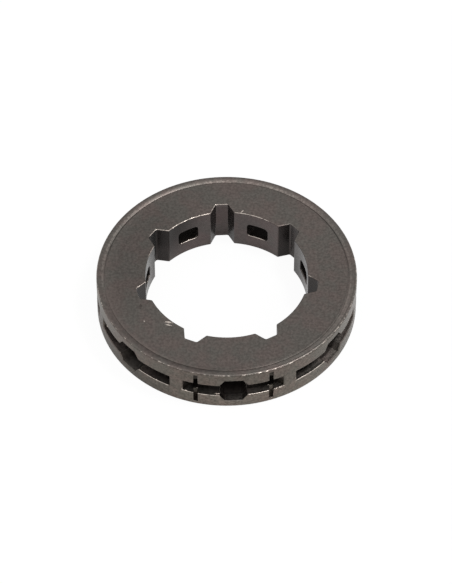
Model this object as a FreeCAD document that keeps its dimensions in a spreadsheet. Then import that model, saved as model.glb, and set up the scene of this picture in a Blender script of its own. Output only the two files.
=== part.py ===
# A rim sprocket for a chainsaw's clutch drum: one cast and hardened steel ring.
#
# The ring lies flat, with its origin at the centre of the bottom face and +Z up along the bore.
# Round the outside is one pocket for each drive link of the chain. A pocket is a narrow slot
# between the two rims. At its middle an eight-sided relief lets dirt out: it tapers inwards to a
# small rounded window in the bore. The metal left between two pockets is a tooth. Behind each
# tooth the bore has a spline groove, which slides on the drum's splined hub. The pocket at -Y
# also has two thin slits across the rims, which show how far the chain has worn them.

import FreeCAD, Part
import math
import os

import Sketcher
from FreeCAD import Vector

# The driving dimensions, in millimetres: the name, the value and what it measures.
SIZES = (
    ("outer_diameter", 35.6, "over the two rims"),
    ("bore_diameter", 22.2, "across the lands between the spline grooves"),
    ("ring_thickness", 6.6, "between the two flat faces"),
    ("outer_bevel", 0.25, "round the outer edge of each face"),
    ("bore_bevel", 0.14, "along the outline of the bore on each face"),
    ("line_inset", 1.24, "from the outside in to the inner edge of the line turned in each face"),
    ("line_inner_width", 0.14, "of the line's steep inner side"),
    ("line_slope_width", 0.25, "of the line's outer side, from its bottom to the bend"),
    ("line_fade_width", 0.4, "of the line's outer side, from the bend to the face"),
    ("line_depth", 0.17, "of the line at its bottom"),
    ("line_bend_depth", 0.06, "of the line at the bend in its outer side"),
    ("tooth_count", 7, "teeth, and as many pockets and spline grooves"),
    ("tooth_tip_width", 1.8, "of a tooth at the outside"),
    ("groove_depth", 1.45, "of a spline groove, from the lands to its root"),
    ("groove_mouth_width", 3.3, "of a spline groove where it opens into the bore"),
    ("groove_root_width", 1.75, "of a spline groove at its root, corners unrounded"),
    ("groove_root_radius", 0.3, "in the corners of a spline groove's root"),
    ("groove_mouth_radius", 0.2, "on the corners of a spline groove's mouth"),
    ("slot_height", 2.0, "between the two rims, room for the drive links"),
    ("slot_floor_wall", 1.6, "of metal between the floor of a slot and the bore"),
    ("slot_floor_width", 5.0, "of a slot at its floor, corners unrounded"),
    ("slot_floor_radius", 1.0, "in the corners of a slot's floor"),
    ("relief_width", 4.05, "of the relief at the outside, between its upright sides"),
    ("relief_height", 4.2, "of the relief at the outside, between its top and its bottom"),
    ("relief_flat_width", 2.45, "of the relief's top and bottom at the outside"),
    ("relief_side_height", 1.8, "of the relief's upright sides at the outside"),
    ("slant_kept", 0.5, "of the relief's slanted corners, as a part, where it meets the bore"),
    ("window_width", 3.05, "of the window in the bore"),
    ("window_height", 2.3, "of the window in the bore"),
    ("window_corner_radius", 0.5, "in the corners of the window"),
    ("window_step", 0.08, "by which the tapered relief would end inside the window, each side"),
    ("slot_bevel", 0.12, "on the edges of a slot at the outside"),
    ("window_bevel", 0.1, "on the edges of a window in the bore"),
    ("slit_spacing", 10.2, "between the middles of the two wear slits"),
    ("slit_width", 0.54, "of a wear slit"),
    ("slit_depth", 0.9, "of a wear slit"),
    ("slit_end_wall", 0.6, "of metal left between a wear slit and each face"),
    ("cut_past", 1.0, "that a cutting profile runs on past the metal"),
)

# How far from its place an edge may lie and still be taken for the one that is looked for.
NEAR = 0.01

# Lengths that several sketches share, as expressions on the sheet.
OUTER = "Sizes.outer_diameter / 2"
BORE = "Sizes.bore_diameter / 2"
THICK = "Sizes.ring_thickness"
MIDDLE = "Sizes.ring_thickness / 2"


def make_sheet(doc):
    """The spreadsheet of driving dimensions: what each measures, and its value under its name."""
    sheet = doc.addObject("Spreadsheet::Sheet", "Sizes")
    for row, (name, value, meaning) in enumerate(SIZES, start=1):
        sheet.set(f"A{row}", meaning)
        sheet.set(f"B{row}", str(value))
        sheet.setAlias(f"B{row}", name)
    doc.recompute()
    return sheet


def number(obj, expression):
    """What an expression on the sheet comes to now, as a plain number."""
    result = obj.evalExpression(expression)
    return float(getattr(result, "Value", result))


def origin_part(body, role):
    """One of the body's own origin planes and axes."""
    return next(part for part in body.Origin.OriginFeatures if part.Role == role)


def new_sketch(body, name, plane, offset=None):
    """An empty sketch on one of the body's origin planes, or that far along its normal."""
    sketch = body.newObject("Sketcher::SketchObject", name)
    sketch.AttachmentSupport = (origin_part(body, plane), [""])
    sketch.MapMode = "FlatFace"
    if offset:
        sketch.setExpression("AttachmentOffset.Base.z", offset)
    return sketch


def carry_on(start, end, share):
    """The point past the end of a straight side, by that share of the side's length."""
    return tuple(f"({b} + ({b} - ({a})) * ({share}))" for a, b in zip(start, end))


def pin(sketch, item, point, place):
    """Holds a point of a sketch at a place given by two expressions."""
    for kind, axis, expression in zip(("DistanceX", "DistanceY"), (-2, -1), place):
        if expression == "0":
            sketch.addConstraint(Sketcher.Constraint("PointOnObject", item, point, axis))
            continue
        value = number(sketch, expression)
        row = sketch.addConstraint(Sketcher.Constraint(kind, -1, 1, item, point, value))
        sketch.setExpression(f"Constraints[{row}]", expression)


def add_round(sketch, before, after, corners, radius):
    """A rounded corner between two sides: its arc, and its unrounded corner as a point."""
    here = corners[1]
    to_before = (corners[0] - here).normalize()
    to_after = (corners[2] - here).normalize()
    half_angle = to_before.getAngle(to_after) / 2
    size = number(sketch, radius)
    centre = here + (to_before + to_after).normalize() * (size / math.sin(half_angle))
    reach = size / math.tan(half_angle)
    ends = [here + to_before * reach - centre, here + to_after * reach - centre]
    turns_left = to_after.cross(to_before).z > 0
    if not turns_left:
        ends.reverse()
    first, last = (math.atan2(end.y, end.x) for end in ends)
    circle = Part.Circle(centre, Vector(0, 0, 1), size)
    arc = sketch.addGeometry(Part.ArcOfCircle(circle, first, last if last > first else last + math.tau))
    joins = (1, 2) if turns_left else (2, 1)
    sketch.addConstraint(Sketcher.Constraint("Tangent", before, 2, arc, joins[0]))
    sketch.addConstraint(Sketcher.Constraint("Tangent", after, 1, arc, joins[1]))
    row = sketch.addConstraint(Sketcher.Constraint("Radius", arc, size))
    sketch.setExpression(f"Constraints[{row}]", radius)
    corner = sketch.addGeometry(Part.Point(here), True)
    sketch.addConstraint(Sketcher.Constraint("PointOnObject", corner, 1, before))
    sketch.addConstraint(Sketcher.Constraint("PointOnObject", corner, 1, after))
    return corner


def draw_outline(sketch, corners):
    """A closed outline: each corner is its x, its y and, where it is rounded, its radius."""
    points = [Vector(number(sketch, x), number(sketch, y), 0) for x, y, *radius in corners]
    count = len(points)
    sides = [
        sketch.addGeometry(Part.LineSegment(points[side], points[(side + 1) % count]))
        for side in range(count)
    ]
    for index, (x, y, *radius) in enumerate(corners):
        before = sides[index - 1]
        after = sides[index]
        if radius:
            trio = (points[index - 1], points[index], points[(index + 1) % count])
            corner = add_round(sketch, before, after, trio, radius[0])
        else:
            sketch.addConstraint(Sketcher.Constraint("Coincident", before, 2, after, 1))
            corner = after
        pin(sketch, corner, 1, (x, y))


def both_sides(half):
    """An outline from its corners on the +X side, taken in order, and their mirror images."""
    mirrored = [(f"-({x})", *rest) for x, *rest in reversed(half)]
    return list(half) + mirrored


def add_feature(body, kind, name, **settings):
    """A feature of the body, with its plain settings."""
    feature = body.newObject(f"PartDesign::{kind}", name)
    for setting, value in settings.items():
        setattr(feature, setting, value)
    return feature


def repeat_round(body, name, originals):
    """Repeats features round the bore's axis, once for each tooth."""
    axis = (origin_part(body, "Z_Axis"), [""])
    pattern = add_feature(body, "PolarPattern", name, Originals=originals, Axis=axis, Angle=360)
    pattern.setExpression("Occurrences", "Sizes.tooth_count")
    body.Tip = pattern
    body.Document.recompute()
    return pattern


def finish_edges(body, kind, name, base, size, wanted):
    """A fillet or a chamfer on the edges of the base for which the test holds."""
    edges = [f"Edge{row}" for row, edge in enumerate(base.Shape.Edges, start=1) if wanted(edge)]
    feature = add_feature(body, kind, name, Base=(base, edges))
    feature.setExpression({"Fillet": "Radius", "Chamfer": "Size"}[kind], size)
    body.Document.recompute()
    return feature


def edge_points(edge):
    """The two ends of an edge and its middle."""
    first, last = edge.ParameterRange
    return [edge.valueAt(place) for place in (first, (first + last) / 2, last)]


def from_axis(point):
    """How far a point is from the bore's axis."""
    return math.hypot(point.x, point.y)


def make_blank(body):
    """The plain ring, turned, with the shallow line turned in each face."""
    sketch = new_sketch(body, "ring_section", "YZ_Plane")
    line_inner = f"({OUTER} - Sizes.line_inset)"
    line_bottom = f"({line_inner} + Sizes.line_inner_width)"
    line_bend = f"({line_bottom} + Sizes.line_slope_width)"
    line_outer = f"({line_bend} + Sizes.line_fade_width)"
    bevel_start = f"({OUTER} - Sizes.outer_bevel)"
    draw_outline(sketch, [
        (BORE, "0"),
        (line_inner, "0"),
        (line_bottom, "Sizes.line_depth"),
        (line_bend, "Sizes.line_bend_depth"),
        (line_outer, "0"),
        (bevel_start, "0"),
        (OUTER, "Sizes.outer_bevel"),
        (OUTER, f"{THICK} - Sizes.outer_bevel"),
        (bevel_start, THICK),
        (line_outer, THICK),
        (line_bend, f"{THICK} - Sizes.line_bend_depth"),
        (line_bottom, f"{THICK} - Sizes.line_depth"),
        (line_inner, THICK),
        (BORE, THICK),
    ])
    axis = (origin_part(body, "Z_Axis"), [""])
    blank = add_feature(body, "Revolution", "turned_ring", Profile=sketch, ReferenceAxis=axis, Angle=360)
    body.Document.recompute()
    return blank


def cut_grooves(body):
    """The spline grooves in the bore, the first at +Y, with their edges rounded."""
    sketch = new_sketch(body, "groove_plan", "XY_Plane")
    root = ("Sizes.groove_root_width / 2", f"({BORE} + Sizes.groove_depth)")
    mouth_across = "Sizes.groove_mouth_width / 2"
    mouth = (mouth_across, f"sqrt(({BORE}) ^ 2 - ({mouth_across}) ^ 2)")
    inside = carry_on(root, mouth, "Sizes.cut_past / Sizes.groove_depth")
    draw_outline(sketch, both_sides([inside, (*root, "Sizes.groove_root_radius")]))
    groove = add_feature(
        body, "Pocket", "spline_groove", Profile=sketch, Type="ThroughAll", Reversed=True
    )
    grooves = repeat_round(body, "spline_grooves", [groove])

    bore = number(body, BORE)
    thick = number(body, THICK)
    root_reach = bore + number(body, "Sizes.groove_depth") + NEAR

    def at_mouth(edge):
        upright = abs(edge.Length - thick) < NEAR
        return upright and all(abs(from_axis(point) - bore) < NEAR for point in edge_points(edge))

    def on_bore_outline(edge):
        points = edge_points(edge)
        on_face = any(all(abs(point.z - z) < NEAR for point in points) for z in (0, thick))
        return on_face and all(from_axis(point) < root_reach for point in points)

    mouths = finish_edges(
        body, "Fillet", "groove_mouths", grooves, "Sizes.groove_mouth_radius", at_mouth
    )
    return finish_edges(body, "Chamfer", "bore_outline", mouths, "Sizes.bore_bevel", on_bore_outline)


def draw_eight_sided(body, name, place, sizes):
    """An eight-sided outline about the middle height, on a plane that far out towards -Y."""
    width, flat_width, height, side_height = (f"{size} / 2" for size in sizes)
    sketch = new_sketch(body, name, "XZ_Plane", place)
    draw_outline(sketch, both_sides([
        (flat_width, f"{MIDDLE} - {height}"),
        (width, f"{MIDDLE} - {side_height}"),
        (width, f"{MIDDLE} + {side_height}"),
        (flat_width, f"{MIDDLE} + {height}"),
    ]))
    return sketch


def draw_relief(body):
    """The relief's two end sections: past the rims, and inside the bore."""
    at_rims = (
        "Sizes.relief_width",
        "Sizes.relief_flat_width",
        "Sizes.relief_height",
        "Sizes.relief_side_height",
    )
    width = "(Sizes.window_width - 2 * Sizes.window_step)"
    height = "(Sizes.window_height - 2 * Sizes.window_step)"
    at_bore = (
        width,
        f"({width} - (Sizes.relief_width - Sizes.relief_flat_width) * Sizes.slant_kept)",
        height,
        f"({height} - (Sizes.relief_height - Sizes.relief_side_height) * Sizes.slant_kept)",
    )
    share = f"Sizes.cut_past / ({OUTER} - {BORE})"
    past_rims = carry_on(at_bore, at_rims, share)
    past_bore = carry_on(at_rims, at_bore, share)
    outer = draw_eight_sided(body, "relief_at_rims", f"{OUTER} + Sizes.cut_past", past_rims)
    inner = draw_eight_sided(body, "relief_at_window", f"{BORE} - Sizes.cut_past", past_bore)
    return outer, inner


def draw_window(body):
    """A window's outline, with rounded corners, on a plane inside the bore."""
    sketch = new_sketch(body, "window_outline", "XZ_Plane", f"{BORE} - Sizes.cut_past")
    across = "Sizes.window_width / 2"
    low = f"{MIDDLE} - Sizes.window_height / 2"
    high = f"{MIDDLE} + Sizes.window_height / 2"
    corner = "Sizes.window_corner_radius"
    draw_outline(sketch, both_sides([(across, low, corner), (across, high, corner)]))
    return sketch


def draw_slot(body):
    """A slot's plan on the ring's middle plane, with flanks that leave the teeth their tips."""
    sketch = new_sketch(body, "slot_plan", "XY_Plane", MIDDLE)
    half_angle = "(180 deg / Sizes.tooth_count - asin(Sizes.tooth_tip_width / Sizes.outer_diameter))"
    floor_depth = f"({BORE} + Sizes.slot_floor_wall)"
    tip_depth = f"{OUTER} * cos({half_angle})"
    floor = ("Sizes.slot_floor_width / 2", f"-{floor_depth}")
    tip = (f"{OUTER} * sin({half_angle})", f"-({tip_depth})")
    past_tip = f"({OUTER} + Sizes.cut_past - {tip_depth}) / ({tip_depth} - {floor_depth})"
    outside = carry_on(floor, tip, past_tip)
    draw_outline(sketch, both_sides([outside, (*floor, "Sizes.slot_floor_radius")]))
    return sketch


def cut_pockets(body):
    """The chain pockets, the first at -Y: slot, tapering relief and window, with bevelled edges."""
    slot = add_feature(body, "Pocket", "chain_slot", Profile=draw_slot(body), SideType="Symmetric")
    slot.setExpression("Length", "Sizes.slot_height")
    body.Document.recompute()
    outer, inner = draw_relief(body)
    relief = add_feature(
        body, "SubtractiveLoft", "dirt_relief", Profile=outer, Sections=[inner], Ruled=True
    )
    body.Document.recompute()
    window = add_feature(body, "Pocket", "window", Profile=draw_window(body), Reversed=True)
    window.setExpression("Length", "Sizes.slot_floor_wall + 2 * Sizes.cut_past")
    body.Document.recompute()
    pockets = repeat_round(body, "chain_pockets", [slot, relief, window])

    rim = number(body, OUTER)
    bore = number(body, BORE)
    middle = number(body, MIDDLE)
    lip_reach = number(body, "Sizes.slot_height") / 2 + NEAR
    window_reach = number(body, "Sizes.window_height") / 2 + NEAR

    def lies_at(edge, radius, reach):
        points = edge_points(edge)
        return all(
            abs(from_axis(point) - radius) < NEAR and abs(point.z - middle) < reach for point in points
        )

    lips = finish_edges(
        body, "Chamfer", "slot_edges", pockets, "Sizes.slot_bevel",
        lambda edge: lies_at(edge, rim, lip_reach),
    )
    return finish_edges(
        body, "Chamfer", "window_edges", lips, "Sizes.window_bevel",
        lambda edge: lies_at(edge, bore, window_reach),
    )


def cut_slits(body):
    """The two wear slits, across both rims beside the relief at -Y."""
    sketch = new_sketch(body, "slit_outlines", "XZ_Plane", f"{OUTER} + Sizes.cut_past")
    middle = "Sizes.slit_spacing / 2"
    low = "Sizes.slit_end_wall"
    high = f"({THICK} - Sizes.slit_end_wall)"
    for side in ("-", ""):
        left = f"({side}({middle}) - Sizes.slit_width / 2)"
        right = f"({side}({middle}) + Sizes.slit_width / 2)"
        draw_outline(sketch, [(left, low), (right, low), (right, high), (left, high)])
    slits = add_feature(body, "Pocket", "wear_slits", Profile=sketch)
    surface = f"sqrt(({OUTER}) ^ 2 - ({middle}) ^ 2)"
    slits.setExpression("Length", f"{OUTER} + Sizes.cut_past - {surface} + Sizes.slit_depth")
    body.Document.recompute()
    return slits


def check_document(doc, body):
    """Stops if any object failed, or if the ring isn't one whole solid."""
    for obj in doc.Objects:
        if {"Invalid", "Error"} & set(obj.State):
            raise RuntimeError(f"{obj.Name} failed: {obj.State}")
    shape = body.Shape
    if shape.isNull() or not shape.isValid() or len(shape.Solids) != 1:
        raise RuntimeError("the ring isn't one valid solid")


def check_cuts(features):
    """Stops if a feature that takes metal away left as much as before."""
    volumes = [feature.Shape.Volume for feature in features]
    for feature, before, after in zip(features[1:], volumes, volumes[1:]):
        if after >= before:
            raise RuntimeError(f"{feature.Name} took nothing away")


def main():
    doc = FreeCAD.newDocument("rim_sprocket")
    make_sheet(doc)
    body = doc.addObject("PartDesign::Body", "rim_sprocket")
    body.Label = "rim_sprocket"
    blank = make_blank(body)
    grooved = cut_grooves(body)
    pocketed = cut_pockets(body)
    slit = cut_slits(body)
    body.Tip = slit
    doc.recompute()
    check_document(doc, body)
    check_cuts([blank, grooved, pocketed, slit])
    os.makedirs("parts", exist_ok=True)
    body.Shape.exportStep(f"parts/{body.Label}.step")
    print(f"{body.Label}: {body.Shape.Volume:.1f} cubic mm, {len(body.Shape.Faces)} faces")


main()
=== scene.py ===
"""The looks of a chainsaw's rim sprocket: a splined steel ring with a pocket for each drive link.

The ring lies flat. Its origin is the centre of its bottom face, +Z runs up the bore, -Y goes
through the middle of the pocket with the two wear slits. Lengths are in metres.
"""

import math

import bmesh
import bpy
from mathutils import Matrix, Vector


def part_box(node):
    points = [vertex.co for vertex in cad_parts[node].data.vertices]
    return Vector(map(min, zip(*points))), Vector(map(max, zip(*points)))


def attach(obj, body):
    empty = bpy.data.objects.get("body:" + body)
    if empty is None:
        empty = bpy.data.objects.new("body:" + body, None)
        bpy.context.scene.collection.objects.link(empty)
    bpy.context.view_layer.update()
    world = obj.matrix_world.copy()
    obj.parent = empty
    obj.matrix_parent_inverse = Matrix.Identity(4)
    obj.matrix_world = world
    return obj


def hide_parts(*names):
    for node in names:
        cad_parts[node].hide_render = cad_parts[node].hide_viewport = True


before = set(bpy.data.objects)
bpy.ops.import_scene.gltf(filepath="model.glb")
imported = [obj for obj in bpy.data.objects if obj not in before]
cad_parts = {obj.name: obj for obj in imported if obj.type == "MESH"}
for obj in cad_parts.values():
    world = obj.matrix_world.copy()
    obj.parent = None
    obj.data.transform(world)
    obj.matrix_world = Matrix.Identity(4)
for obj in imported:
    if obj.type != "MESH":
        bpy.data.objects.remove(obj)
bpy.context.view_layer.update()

bl_info = {
    "name": "Rim sprocket",
    "version": (1, 0, 0),
    "blender": (4, 5, 0),
    "location": "3D View > Sidebar > Rim sprocket",
    "description": "Builds a chainsaw's rim sprocket, its burrs and the stage it lies on",
    "category": "Object",
}

NODE = "rim_sprocket"
MM = 0.001
LOWEST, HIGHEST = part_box(NODE)
FULL_WIDTH = HIGHEST.x - LOWEST.x
FULL_HEIGHT = HIGHEST.z - LOWEST.z

# Properties that a user would change.


def length(name, value, description):
    """A length in metres, shown in the scene's unit."""
    return bpy.props.FloatProperty(
        name=name, description=description, default=value, min=0.0,
        subtype="DISTANCE", unit="LENGTH", precision=5,
    )


def amount(name, value, description, high=1.0):
    """A plain number from nothing to a highest value."""
    return bpy.props.FloatProperty(
        name=name, description=description, default=value, min=0.0, max=high, precision=3
    )


def colour(name, value, description):
    """A colour, in linear red, green and blue."""
    return bpy.props.FloatVectorProperty(
        name=name, description=description, default=value, size=3,
        min=0.0, max=1.0, subtype="COLOR",
    )


class RingSizes(bpy.types.PropertyGroup):
    """The sizes of the ring."""

    outer_diameter: length("Outer diameter", FULL_WIDTH, "Over the two rims")
    bore_diameter: length("Bore diameter", 22.2 * MM, "Across the lands between the grooves")
    thickness: length("Thickness", FULL_HEIGHT, "Between the two flat faces")
    teeth: bpy.props.IntProperty(
        name="Teeth", description="Teeth, and as many pockets and spline grooves",
        default=7, min=3, max=12,
    )
    tooth_tip: length("Tooth tip", 1.8 * MM, "Width of a tooth at the outside")
    line_start: length("Line start", 1.27 * MM, "From the outside to the line's inner edge")
    line_bottom: length("Line bottom", 1.04 * MM, "From the outside to the line's deepest place")
    line_bend: length("Line bend", 0.80 * MM, "From the outside to the bend in its outer side")
    line_end: length("Line end", 0.45 * MM, "From the outside to the line's outer edge")
    line_depth: length("Line depth", 0.17 * MM, "Depth of the turned line")
    line_bend_depth: length("Line bend depth", 0.06 * MM, "Depth of the bend in its outer side")
    groove_depth: length("Groove depth", 1.45 * MM, "From the lands to a groove's root")
    groove_mouth: length("Groove mouth", 3.3 * MM, "Width of a groove where it opens")
    groove_root: length("Groove root", 1.75 * MM, "Width of a groove at its root")
    groove_corner: length("Groove corner", 0.3 * MM, "Radius in a groove's root corners")
    slot_height: length("Slot height", 2.0 * MM, "Between the two rims")
    slot_wall: length("Slot wall", 1.6 * MM, "Metal between a slot's floor and the bore")
    slot_floor: length("Slot floor", 5.0 * MM, "Width of a slot at its floor")
    slot_corner: length("Slot corner", 1.0 * MM, "Radius in the corners of a slot's floor")
    relief_width: length("Relief width", 4.05 * MM, "Between a relief's upright sides")
    relief_height: length("Relief height", 4.2 * MM, "Between a relief's top and bottom")
    relief_flat: length("Relief flat", 2.45 * MM, "Width of a relief's top and bottom")
    relief_side: length("Relief side", 1.8 * MM, "Height of a relief's upright sides")
    window_width: length("Window width", 3.05 * MM, "Width of a window in the bore")
    window_height: length("Window height", 2.3 * MM, "Height of a window in the bore")
    window_corner: length("Window corner", 0.5 * MM, "Radius of a window's corners")
    window_step: length("Window step", 0.08 * MM, "Relief's end inside the window")
    slit_spacing: length("Slit spacing", 10.2 * MM, "Between the two wear slits")
    slit_width: length("Slit width", 0.54 * MM, "Width of a wear slit")
    slit_depth: length("Slit depth", 0.9 * MM, "Depth of a wear slit")
    slit_wall: length("Slit end wall", 0.6 * MM, "Metal between a slit and each face")
    outer_edge: length("Outer edge", 0.25 * MM, "Rounding of the outer edge of each face")
    small_edge: length("Small edges", 0.13 * MM, "Rounding of every other outside edge")


class SteelLook(bpy.types.PropertyGroup):
    """The colours and the finish of the steel."""

    warm: colour("Warm steel", (0.114, 0.0945, 0.0863), "Pinkish brown patches")
    cool: colour("Cool steel", (0.104, 0.0953, 0.0863), "Greenish grey patches")
    bare: colour("Bare steel", (0.62, 0.55, 0.49), "Metal worn bright along the edges")
    # The colour of oxide and dirt, also used to paint the shade in the pockets, slits and grooves and on the
    # flanks.
    grime_and_shade: colour("Grime", (0.0105, 0.0081, 0.0072), "Oxide and dirt, and painted shade, in the hollows")
    patch: length("Patch size", 3.5 * MM, "Size of the warm and cool patches")
    grain: length("Grain size", 0.35 * MM, "Size of the cast grain")
    roughness: amount("Roughness", 0.37, "Roughness of the dull steel")
    wear: amount("Edge wear", 0.7, "How much of the edges is worn bright")
    # How strongly the grime and the painted shade darken the hollows and the flanks.
    grime_and_shade_cover: amount("Grime cover", 0.9, "How dark the hollows and the flanks are")


class StageLook(bpy.types.PropertyGroup):
    """The floor, the lights and the camera."""

    floor: colour("Floor", (0.82, 0.82, 0.81), "Colour of the floor")
    azimuth: bpy.props.FloatProperty(
        name="Azimuth", description="Where the camera stands round the ring, from -Y",
        default=math.radians(-3.076), subtype="ANGLE", unit="ROTATION",
    )
    elevation: bpy.props.FloatProperty(
        name="Elevation", description="How high the camera stands",
        default=math.radians(50.322), subtype="ANGLE", unit="ROTATION",
    )
    distance: length("Distance", 0.5118, "From the camera to the ring")
    aside: bpy.props.FloatProperty(
        name="Aside", description="How far the camera stands to the right of the ring's axis",
        default=-0.09 * MM, subtype="DISTANCE", unit="LENGTH", precision=5,
    )
    above: bpy.props.FloatProperty(
        name="Above", description="How far above the ring's middle the camera looks",
        default=1.74 * MM, subtype="DISTANCE", unit="LENGTH", precision=5,
    )
    lens: bpy.props.FloatProperty(
        name="Lens", description="Focal length on a 36 mm sensor, in millimetres",
        default=228.8, min=10.0,
    )


# Node trees.


def feed(tree, slot, value):
    """Gives an input socket a value, or joins the end of a chain of nodes to it."""
    if isinstance(value, Chain):
        tree.links.new(value.socket, slot)
    else:
        slot.default_value = value


class Chain:
    """The end of a chain of nodes: one output socket, which Python's sums carry on."""

    def __init__(self, tree, socket):
        self.tree = tree
        self.socket = socket

    def sum(self, operation, *others):
        node = self.tree.nodes.new("ShaderNodeMath")
        node.operation = operation
        for slot, value in zip(node.inputs, (self, *others)):
            feed(self.tree, slot, value)
        return Chain(self.tree, node.outputs[0])

    def __add__(self, other):
        return self.sum("ADD", other)

    def __sub__(self, other):
        return self.sum("SUBTRACT", other)

    def __mul__(self, other):
        return self.sum("MULTIPLY", other)

    def __truediv__(self, other):
        return self.sum("DIVIDE", other)

    def __rsub__(self, other):
        return (-self) + other

    def __neg__(self):
        return self.sum("MULTIPLY", -1.0)

    def __pow__(self, other):
        return self.sum("POWER", other)

    def __gt__(self, other):
        return self.sum("GREATER_THAN", other)

    def __lt__(self, other):
        return self.sum("LESS_THAN", other)


class Tree:
    """A node tree that is being built."""

    def __init__(self, tree):
        self.tree = tree

    def node(self, kind, inputs=(), output=0, **settings):
        """A new node with its settings and inputs, named or counted, as the end of a chain."""
        node = self.tree.nodes.new(kind)
        for name, value in settings.items():
            setattr(node, name, value)
        for name, value in dict(inputs).items():
            values = value if isinstance(value, list) else [value]
            for each in values:
                feed(self.tree, node.inputs[name], each)
        if node.outputs:
            return Chain(self.tree, node.outputs[output])

    def vector(self, x=0.0, y=0.0, z=0.0):
        return self.node("ShaderNodeCombineXYZ", {"X": x, "Y": y, "Z": z})

    def axes(self, vector):
        node = self.tree.nodes.new("ShaderNodeSeparateXYZ")
        feed(self.tree, node.inputs[0], vector)
        return [Chain(self.tree, socket) for socket in node.outputs]

    def noise(self, place, size, detail=4.0, roughness=0.5):
        """A noise pattern whose blotches are about that size."""
        return self.node(
            "ShaderNodeTexNoise",
            {"Vector": place, "Scale": 1.0 / size, "Detail": detail, "Roughness": roughness},
        )

    def arrange(self):
        """Sets the nodes out in columns, from the first to the last."""
        depth = {}

        def column(node):
            if node not in depth:
                depth[node] = 0
                before = [column(link.from_node) for slot in node.inputs for link in slot.links]
                depth[node] = 1 + max(before, default=0)
            return depth[node]

        heights = {}
        for node in self.tree.nodes:
            place = column(node)
            node.location = (place * 220.0, -heights.get(place, 0.0))
            heights[place] = heights.get(place, 0.0) + 180.0


def new_shape_tree(name, inputs):
    """A Geometry Nodes tree with named inputs; returns it with its inputs by property name."""
    tree = bpy.data.node_groups.new(name, "GeometryNodeTree")
    tree.is_modifier = True
    sockets = {}
    for key, (label, kind) in inputs.items():
        sockets[key] = tree.interface.new_socket(label, in_out="INPUT", socket_type=kind)
    tree.interface.new_socket("Mesh", in_out="OUTPUT", socket_type="NodeSocketGeometry")
    start = tree.nodes.new("NodeGroupInput")
    ends = {key: Chain(tree, start.outputs[place]) for place, key in enumerate(inputs)}
    return Tree(tree), ends, sockets


def close_shape_tree(tree, mesh, material):
    """Ends a shape tree: real geometry with its material."""
    real = tree.node("GeometryNodeRealizeInstances", {"Geometry": mesh})
    painted = tree.node("GeometryNodeSetMaterial", {"Geometry": real, "Material": material})
    out = tree.tree.nodes.new("NodeGroupOutput")
    feed(tree.tree, out.inputs[0], painted)
    tree.arrange()


def mesh_from_tree(name, tree, sockets, values):
    """The plain mesh that a shape tree makes with these values."""
    holder = bpy.data.objects.new(name + "_tree", bpy.data.meshes.new(name + "_tree"))
    bpy.context.scene.collection.objects.link(holder)
    modifier = holder.modifiers.new("shape", "NODES")
    modifier.node_group = tree.tree
    for key, socket in sockets.items():
        modifier[socket.identifier] = values[key]
    mesh = bake_mesh(holder, name)
    bpy.data.objects.remove(holder)
    return mesh


def bake_mesh(obj, name):
    """The mesh of an object with its modifiers, as plain geometry."""
    bpy.context.view_layer.update()
    graph = bpy.context.evaluated_depsgraph_get()
    mesh = bpy.data.meshes.new_from_object(obj.evaluated_get(graph), depsgraph=graph)
    mesh.name = name
    return mesh


# The ring's shape.

RIM_SEGMENTS = 23
BORE_SEGMENTS = 17
PAST = 1.0 * MM

# Where the photo shows burrs: degrees round the ring from and to, millimetres in from the rims
# and up from the lower lip of the slot, how many, and how long each is in millimetres.
BURR_ROWS = {
    "left_end": (247.0, 250.8, 0.05, 0.0, 7, 0.36),
    "left_slit": (253.2, 254.0, 0.95, 0.0, 1, 0.24),
    "left_relief": (261.3, 263.8, 0.30, 0.04, 4, 0.42),
    "right_relief": (278.8, 284.0, 0.04, 0.0, 7, 0.22),
    "right_slit": (286.0, 286.8, 0.95, 0.0, 1, 0.24),
    "right_end": (288.2, 293.0, 0.05, 0.0, 9, 0.34),
    "next_left": (231.5, 235.5, 0.04, 0.0, 7, 0.26),
    "next_left_relief": (212.2, 213.0, 0.04, 0.05, 1, 0.22),
    "upper_left": (200.8, 201.8, 0.04, 1.95, 2, 0.26),
    "upper_right": (338.3, 339.3, 0.04, 1.95, 2, 0.26),
}

# Small marks on the top face: degrees round the ring, then millimetres from the axis, half
# length and half width, and the turn of its length from the tangent in degrees.
BRIGHT_MARKS = (
    (224.5, 11.57, 0.54, 0.15, 33.0),
    (225.6, 11.96, 0.44, 0.12, 26.0),
    (213.8, 13.91, 0.11, 0.08, 0.0),
    (76.2, 11.45, 0.30, 0.08, 60.0),
)
DARK_MARKS = (
    (203.2, 13.04, 0.45, 0.22, -21.0),
    (226.2, 11.72, 0.45, 0.12, 18.0),
)


def outline(tree, corners):
    """A closed outline in the XY plane from its corners: each x, y and corner radius."""
    index = tree.node("GeometryNodeInputIndex")
    chosen = []
    for kind, parts in (("VECTOR", [c[:2] for c in corners]), ("FLOAT", [c[2] for c in corners])):
        switch = tree.tree.nodes.new("GeometryNodeIndexSwitch")
        switch.data_type = kind
        while len(switch.index_switch_items) < len(corners):
            switch.index_switch_items.new()
        feed(tree.tree, switch.inputs["Index"], index)
        for place, part in enumerate(parts, start=1):
            value = tree.vector(*part) if kind == "VECTOR" else part
            feed(tree.tree, switch.inputs[place], value)
        chosen.append(Chain(tree.tree, switch.outputs[0]))
    place, radius = chosen
    points = tree.node("GeometryNodePoints", {"Count": len(corners), "Position": place})
    line = tree.node("GeometryNodePointsToCurves", {"Points": points})
    closed = tree.node("GeometryNodeSetSplineCyclic", {"Geometry": line, "Cyclic": True})
    return tree.node(
        "GeometryNodeFilletCurve",
        {"Curve": closed, "Count": 6, "Radius": radius, "Limit Radius": True}, mode="POLY",
    )


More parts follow.
